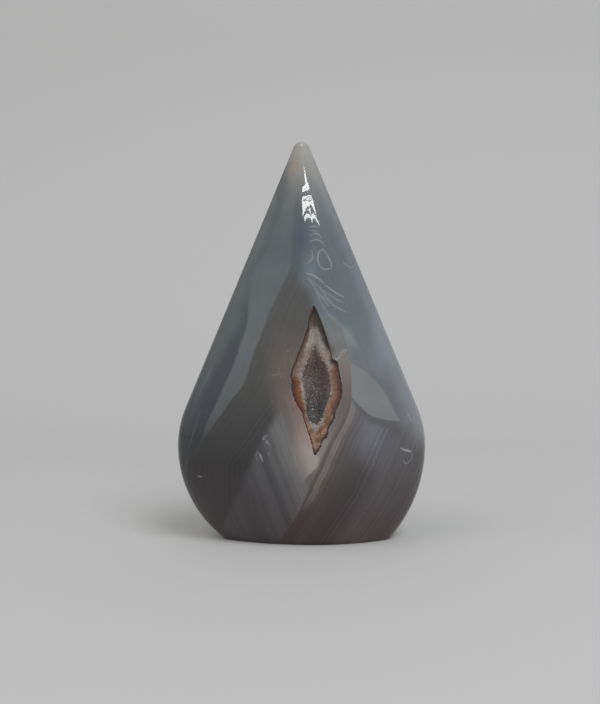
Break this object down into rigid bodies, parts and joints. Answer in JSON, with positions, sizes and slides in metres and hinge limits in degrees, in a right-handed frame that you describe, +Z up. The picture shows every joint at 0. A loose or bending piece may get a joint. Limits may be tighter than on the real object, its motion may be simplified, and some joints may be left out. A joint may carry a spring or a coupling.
{
  "type": "druzy agate flame carving",
  "caption": "Flattened teardrop of polished banded agate that stands upright on a flat ground foot, with an open cavity in its front lined by small quartz crystals.",
  "frame": {"origin": "on the flat foot, under the middle of the greatest width and thickness", "axes": "+Z up to the tip, -Y the front with the cavity, +X to the right seen from the front"},
  "size_m": [0.075, 0.035, 0.12],
  "materials": {
    "polished_agate": "polished",
    "quartz_druse": "satin"
  },
  "bodies": {
    "root": {"agate_stone": "polished_agate", "quartz_crust": "quartz_druse"}
  },
  "joints": []
}
